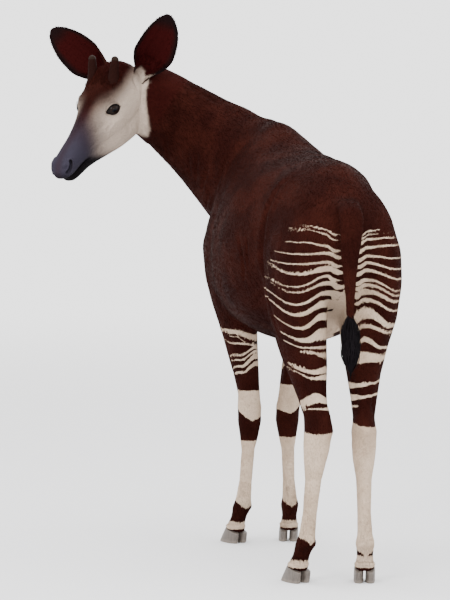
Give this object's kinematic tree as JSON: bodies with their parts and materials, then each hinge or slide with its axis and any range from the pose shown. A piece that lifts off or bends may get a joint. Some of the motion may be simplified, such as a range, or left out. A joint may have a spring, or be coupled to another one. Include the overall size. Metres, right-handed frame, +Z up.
{
  "type": "okapi",
  "caption": "Life-size okapi that stands and looks back over its left shoulder, with striped haunches, large ears, short horns and a tufted tail.",
  "frame": {"origin": "on the floor under the middle of the whole animal's box", "axes": "the body faces -Y, its left side is +X, and +Z is up"},
  "size_m": [1.0922, 1.6114, 1.9376],
  "materials": {
    "coat": "short glossy chocolate-maroon fur",
    "leg_coat": "short cream fur, banded with dark brown in the render",
    "face_coat": "short greyish cream fur that darkens to the muzzle",
    "ear_coat": "thin dark maroon fur",
    "tuft": "long black hair",
    "ossicone": "skin-covered horn with short brown fur and a bare tip",
    "hoof": "grey-brown horn",
    "eye": "wet, nearly black eye"
  },
  "bodies": {
    "root": {"ear_left": "ear_coat", "ear_right": "ear_coat", "eye_left": "eye", "eye_right": "eye", "forehoof_left_inner": "hoof", "forehoof_left_outer": "hoof", "forehoof_right_inner": "hoof", "forehoof_right_outer": "hoof", "foreleg_left": "leg_coat", "foreleg_right": "leg_coat", "head": "face_coat", "hindhoof_left_inner": "hoof", "hindhoof_left_outer": "hoof", "hindhoof_right_inner": "hoof", "hindhoof_right_outer": "hoof", "hindleg_left": "leg_coat", "hindleg_right": "leg_coat", "neck": "coat", "ossicone_left": "ossicone", "ossicone_right": "ossicone", "tail": "tuft", "torso": "coat"}
  },
  "joints": []
}
